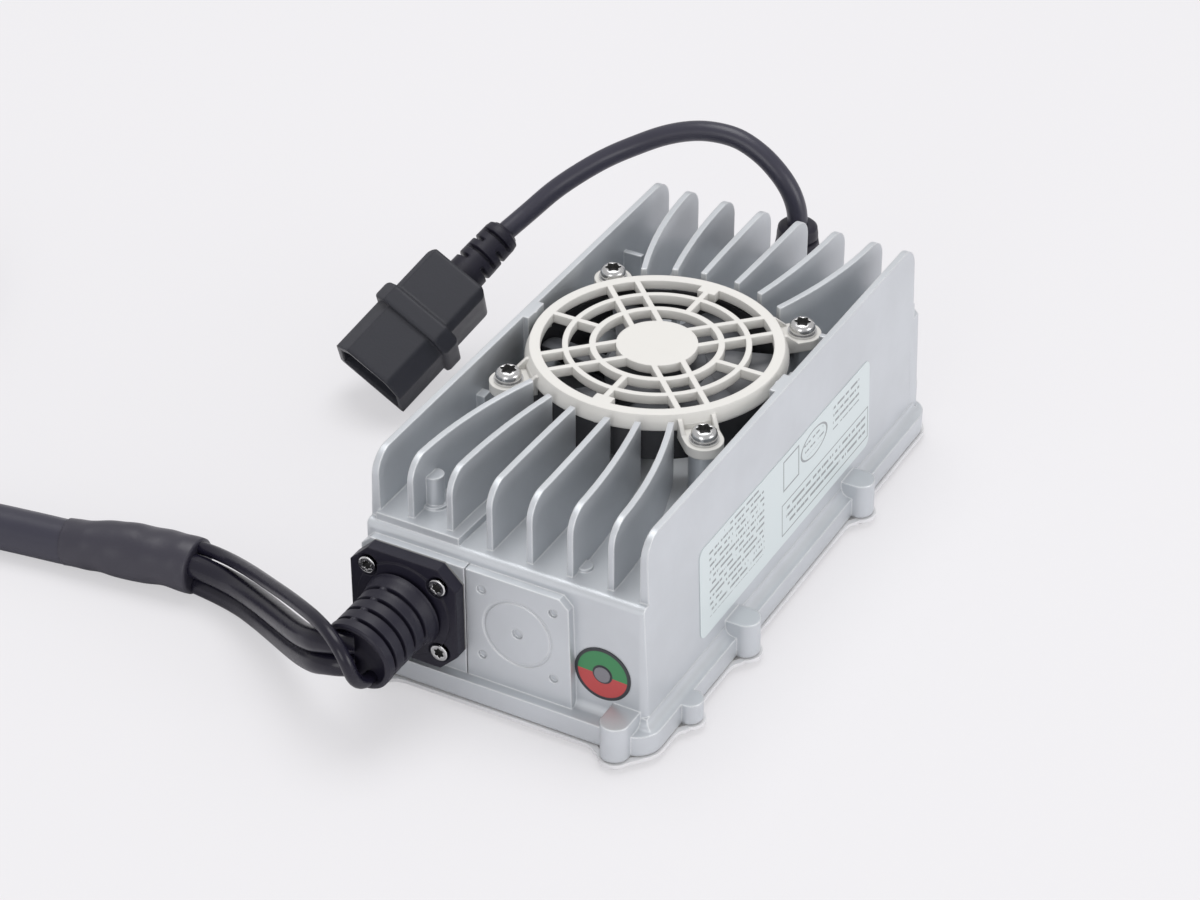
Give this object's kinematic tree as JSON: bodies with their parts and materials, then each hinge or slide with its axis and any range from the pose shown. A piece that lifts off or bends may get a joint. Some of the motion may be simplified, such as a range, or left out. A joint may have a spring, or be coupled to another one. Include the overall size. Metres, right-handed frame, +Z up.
{
  "type": "battery charger",
  "caption": "Fan-cooled battery charger in a finned die-cast case, with a mains lead and inlet plug at the rear and a multi-core output cable with a battery connector at the front.",
  "frame": {"origin": "on the standing surface, under the middle of the base flange", "axes": "+X to the right along the front face, +Y to the rear along the length, +Z up"},
  "size_m": [0.4897, 0.256, 0.085],
  "materials": {
    "cast_case": "fine bead-blasted die casting, satin",
    "base_sheet": "plain rolled sheet, satin",
    "seal_rubber": "matte",
    "screw_steel": "bright zinc plating",
    "washer_steel": "bright zinc plating",
    "guard_plastic": "warm white moulded plastic, satin",
    "fan_plastic": "black moulded plastic, satin",
    "winding_copper": "enamelled copper wire",
    "bearing_bronze": "sintered bronze",
    "shaft_steel": "ground",
    "entry_plastic": "black moulded plastic, fine texture",
    "boot_rubber": "black moulded rubber, satin",
    "core_sheath": "black extruded insulation, satin",
    "shrink_sleeve": "shrunk black tube, satin",
    "cable_sheath": "black extruded sheath, satin",
    "lead_sheath": "black extruded sheath, satin",
    "connector_plastic": "grey moulded plastic",
    "contact_metal": "tinned",
    "plug_plastic": "black moulded plastic, satin",
    "indicator_print": "printed film, black ring with a green and a red half",
    "indicator_lens": "clear lens",
    "label_film": "printed polyester film",
    "board_laminate": "green solder resist",
    "spacer_steel": "zinc plating",
    "ferrite": "dark ferrite",
    "winding_tape": "yellow film tape",
    "capacitor_sleeve": "shrunk dark sleeve",
    "chip_resin": "moulded resin",
    "spring_steel": "plain",
    "thermal_pad": "silicone pad",
    "fuse_ceramic": "ceramic",
    "relay_case": "moulded case"
  },
  "bodies": {
    "charger": {"housing": "cast_case", "base_plate": "base_sheet", "base_gasket": "seal_rubber", "base_screws": "screw_steel", "fan_guard": "guard_plastic", "guard_screws": "screw_steel", "guard_washers": "washer_steel", "fan_frame": "fan_plastic", "fan_stator": "winding_copper", "fan_bearings": "bearing_bronze", "fan_screws": "screw_steel", "output_flange": "entry_plastic", "output_gasket": "seal_rubber", "output_flange_screws": "screw_steel", "output_boot": "boot_rubber", "core_positive": "core_sheath", "core_negative": "core_sheath", "core_sense": "core_sheath", "output_sleeve": "shrink_sleeve", "output_cable": "cable_sheath", "output_coil": "cable_sheath", "output_tail": "cable_sheath", "connector_housing": "connector_plastic", "connector_contacts": "contact_metal", "input_flange": "entry_plastic", "input_gasket": "seal_rubber", "input_flange_screws": "screw_steel", "input_boot": "boot_rubber", "input_lead": "lead_sheath", "plug_body": "plug_plastic", "plug_boot": "boot_rubber", "plug_pins": "contact_metal", "led_label": "indicator_print", "led_lens": "indicator_lens", "rating_label": "label_film", "circuit_board": "board_laminate", "board_spacers": "spacer_steel", "board_screws": "screw_steel", "control_board": "board_laminate", "transformer_core": "ferrite", "transformer_winding": "winding_tape", "pfc_inductor": "winding_copper", "filter_choke": "winding_copper", "bulk_capacitors": "capacitor_sleeve", "output_capacitors": "capacitor_sleeve", "power_transistors": "chip_resin", "transistor_clamp": "spring_steel", "insulator_pad": "thermal_pad", "fuse": "fuse_ceramic", "relay": "relay_case"},
    "fan_rotor": {"fan_impeller": "fan_plastic", "fan_shaft": "shaft_steel"}
  },
  "joints": [
    {"name": "fan_spin", "type": "hinge", "parent": "charger", "child": "fan_rotor", "pos_m": [0, 0.0016, 0.06], "axis": [0, 0, 1], "continuous": true}
  ]
}
